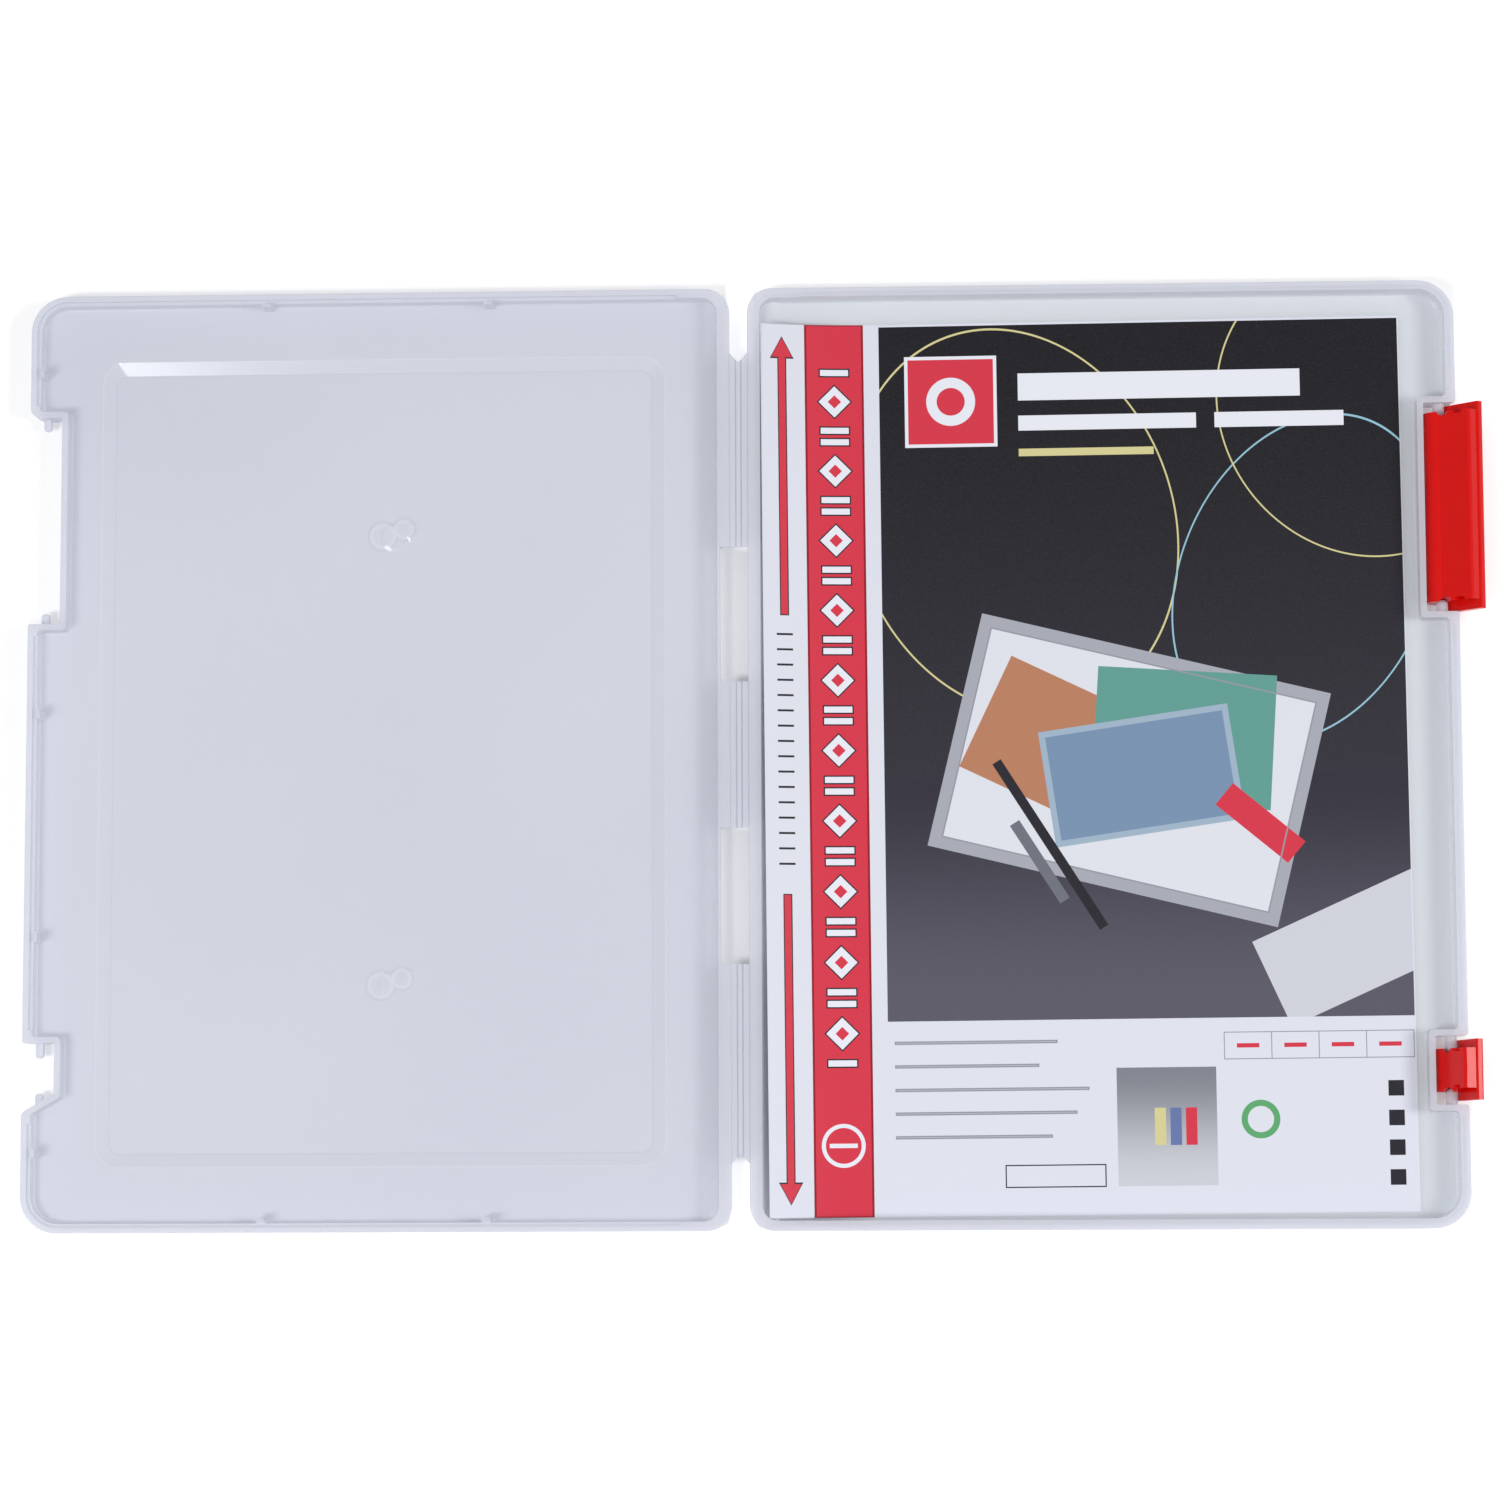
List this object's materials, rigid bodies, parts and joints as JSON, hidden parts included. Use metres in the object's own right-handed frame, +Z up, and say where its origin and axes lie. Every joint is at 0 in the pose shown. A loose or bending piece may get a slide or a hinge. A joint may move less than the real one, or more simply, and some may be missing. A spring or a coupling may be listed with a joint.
{
  "type": "document case",
  "caption": "Thin hinged plastic case for A4 papers, shown open flat, with snap clips and a printed insert sheet.",
  "frame": {"origin": "centre of the base tray's underside, on the surface that the open case lies on", "axes": "+X from the hinge towards the clips, +Y along the hinge, +Z up"},
  "size_m": [0.4739, 0.307, 0.0188],
  "materials": {
    "case_plastic": "milky clear polypropylene",
    "clip_plastic": "glossy translucent red",
    "printed_sheet": "printed paper"
  },
  "bodies": {
    "base": {"base_tray": "case_plastic", "base_web_left": "case_plastic", "base_web_middle": "case_plastic", "base_web_right": "case_plastic", "insert_sheet": "printed_sheet"},
    "lid": {"lid_tray": "case_plastic", "lid_web_left": "case_plastic", "lid_web_middle": "case_plastic", "lid_web_right": "case_plastic"},
    "large_clip": {"large_clip": "clip_plastic"},
    "small_clip": {"small_clip": "clip_plastic"}
  },
  "joints": [
    {"name": "lid_hinge", "type": "hinge", "parent": "base", "child": "lid", "pos_m": [-0.1179, 0, 0.01], "axis": [0, 1, 0], "range_deg": [0, 180]},
    {"name": "large_clip_pivot", "type": "hinge", "parent": "base", "child": "large_clip", "pos_m": [0.1099, 0.0789, 0.0052], "axis": [0, -1, 0], "range_deg": [-47, 43]},
    {"name": "small_clip_pivot", "type": "hinge", "parent": "base", "child": "small_clip", "pos_m": [0.1099, -0.1032, 0.0052], "axis": [0, -1, 0], "range_deg": [-73, 17]}
  ]
}
